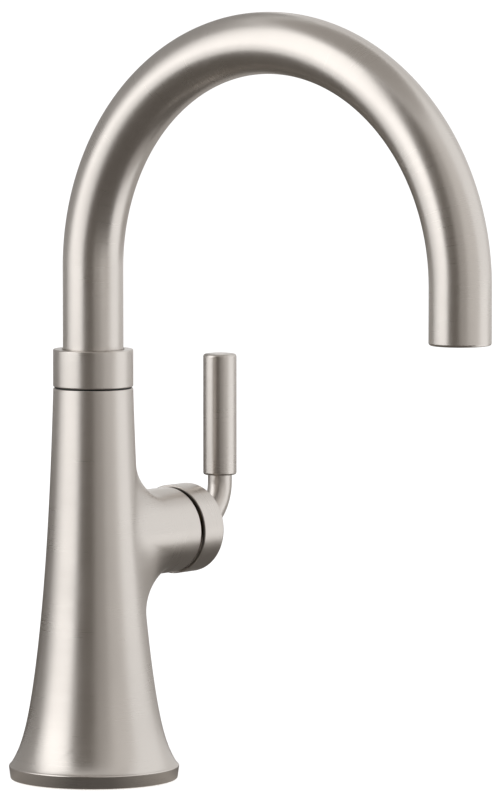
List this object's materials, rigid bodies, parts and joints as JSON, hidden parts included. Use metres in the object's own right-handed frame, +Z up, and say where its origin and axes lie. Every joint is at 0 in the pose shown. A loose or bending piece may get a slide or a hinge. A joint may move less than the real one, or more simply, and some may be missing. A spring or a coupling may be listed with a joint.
{
  "type": "gooseneck bar faucet",
  "caption": "Deck-mounted bar faucet: flared round body, tall gooseneck spout that swivels, and a side lever with an upright grip that mixes by turning and opens by tilting outwards.",
  "frame": {"origin": "middle of the round foot on the worktop, on the axis of the deck hole", "axes": "+Z up along the body's axis, -Y towards the spout's outlet at rest, +X along the side boss towards the lever"},
  "size_m": [0.1275, 0.2399, 0.3238],
  "materials": {
    "brushed_nickel": "satin, fine brushed lines round each piece",
    "brass": "turned, unplated",
    "copper": "drawn copper tube",
    "seal_rubber": "matt black rubber",
    "black_acetal": "moulded, matt",
    "white_acetal": "moulded, matt",
    "grey_acetal": "moulded, matt",
    "red_acetal": "moulded, matt",
    "ceramic": "lapped alumina",
    "spring_steel": "plain"
  },
  "bodies": {
    "body": {"body_shell": "brushed_nickel", "base_gasket": "seal_rubber", "base_insert": "brass", "waterway": "brass", "hot_inlet_pipe": "copper", "cold_inlet_pipe": "copper", "inlet_seals": "seal_rubber", "swivel_bush": "black_acetal", "cartridge_housing": "white_acetal", "cartridge_base": "white_acetal", "port_seals": "seal_rubber", "fixed_disc": "ceramic", "limit_ring": "red_acetal", "cartridge_nut": "brass", "bonnet_ring": "black_acetal"},
    "turret": {"turret": "grey_acetal", "tilt_pin": "spring_steel"},
    "disc": {"disc_carrier": "white_acetal", "sliding_disc": "ceramic"},
    "handle": {"control_stem": "brass", "hub": "brushed_nickel", "lever_rod": "brushed_nickel", "grip": "brushed_nickel", "hub_set_screw": "spring_steel"},
    "spout": {"collar": "brushed_nickel", "spout_tube": "brushed_nickel", "swivel_stem": "brass", "stem_seals": "seal_rubber", "retaining_clip": "spring_steel", "outlet_insert": "brass", "aerator_washer": "seal_rubber", "flow_regulator": "white_acetal", "aerator_body": "grey_acetal", "flow_straightener": "white_acetal"}
  },
  "joints": [
    {"name": "spout_swivel", "type": "hinge", "parent": "body", "child": "spout", "pos_m": [0, 0, 0.1651], "axis": [0, 0, 1], "continuous": true},
    {"name": "handle_turn", "type": "hinge", "parent": "body", "child": "turret", "pos_m": [0.0367, 0, 0.1009], "axis": [1, 0, 0], "range_deg": [0, 90]},
    {"name": "lever_tilt", "type": "hinge", "parent": "turret", "child": "handle", "pos_m": [0.0367, 0, 0.1009], "axis": [0, 1, 0], "range_deg": [0, 20]},
    {"name": "disc_slide", "type": "slide", "parent": "turret", "child": "disc", "axis": [0, 0, 1], "range_m": [0, 0.0028]}
  ],
  "couplings": [
    {"joint": "disc_slide", "follows": "lever_tilt", "m_per_rad": 0.0079}
  ]
}
